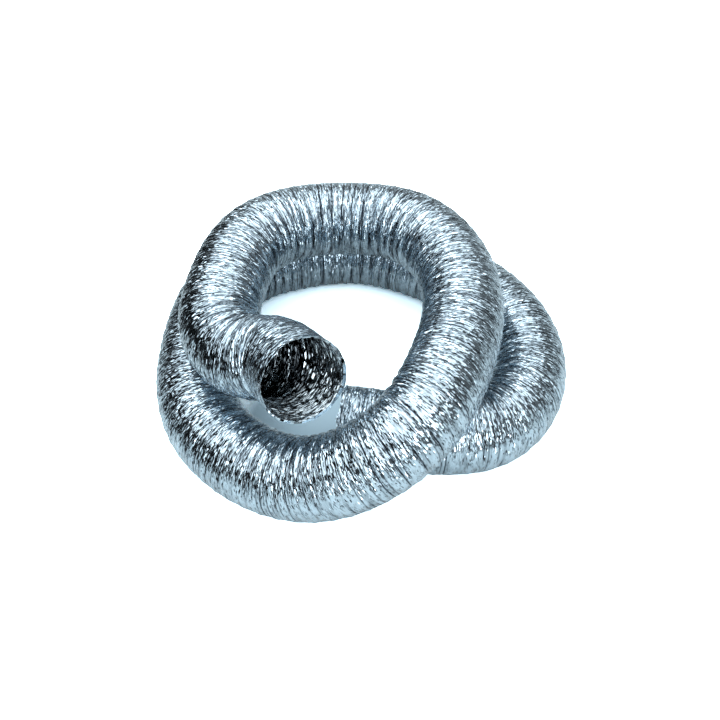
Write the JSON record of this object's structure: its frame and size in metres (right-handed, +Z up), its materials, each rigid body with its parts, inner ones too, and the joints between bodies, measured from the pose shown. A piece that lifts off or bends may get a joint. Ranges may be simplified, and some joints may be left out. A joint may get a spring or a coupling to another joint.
{
  "type": "flexible aluminium duct",
  "caption": "Length of wire-wound aluminium foil hose, lying in a loose coil, whose open round ends slide over spigots to carry air or exhaust.",
  "frame": {"origin": "on the floor, under the middle of the coil's box", "axes": "+Z up, the shortest way through the coil; -Y towards the viewer, the side that the open mouth faces; +X to the viewer's right"},
  "size_m": [0.5596, 0.5524, 0.2495],
  "materials": {
    "foil": "bright, finely crinkled aluminium foil laminate, with a wire helix showing through as a raised rib"
  },
  "bodies": {
    "root": {"foil_duct": "foil"}
  },
  "joints": []
}
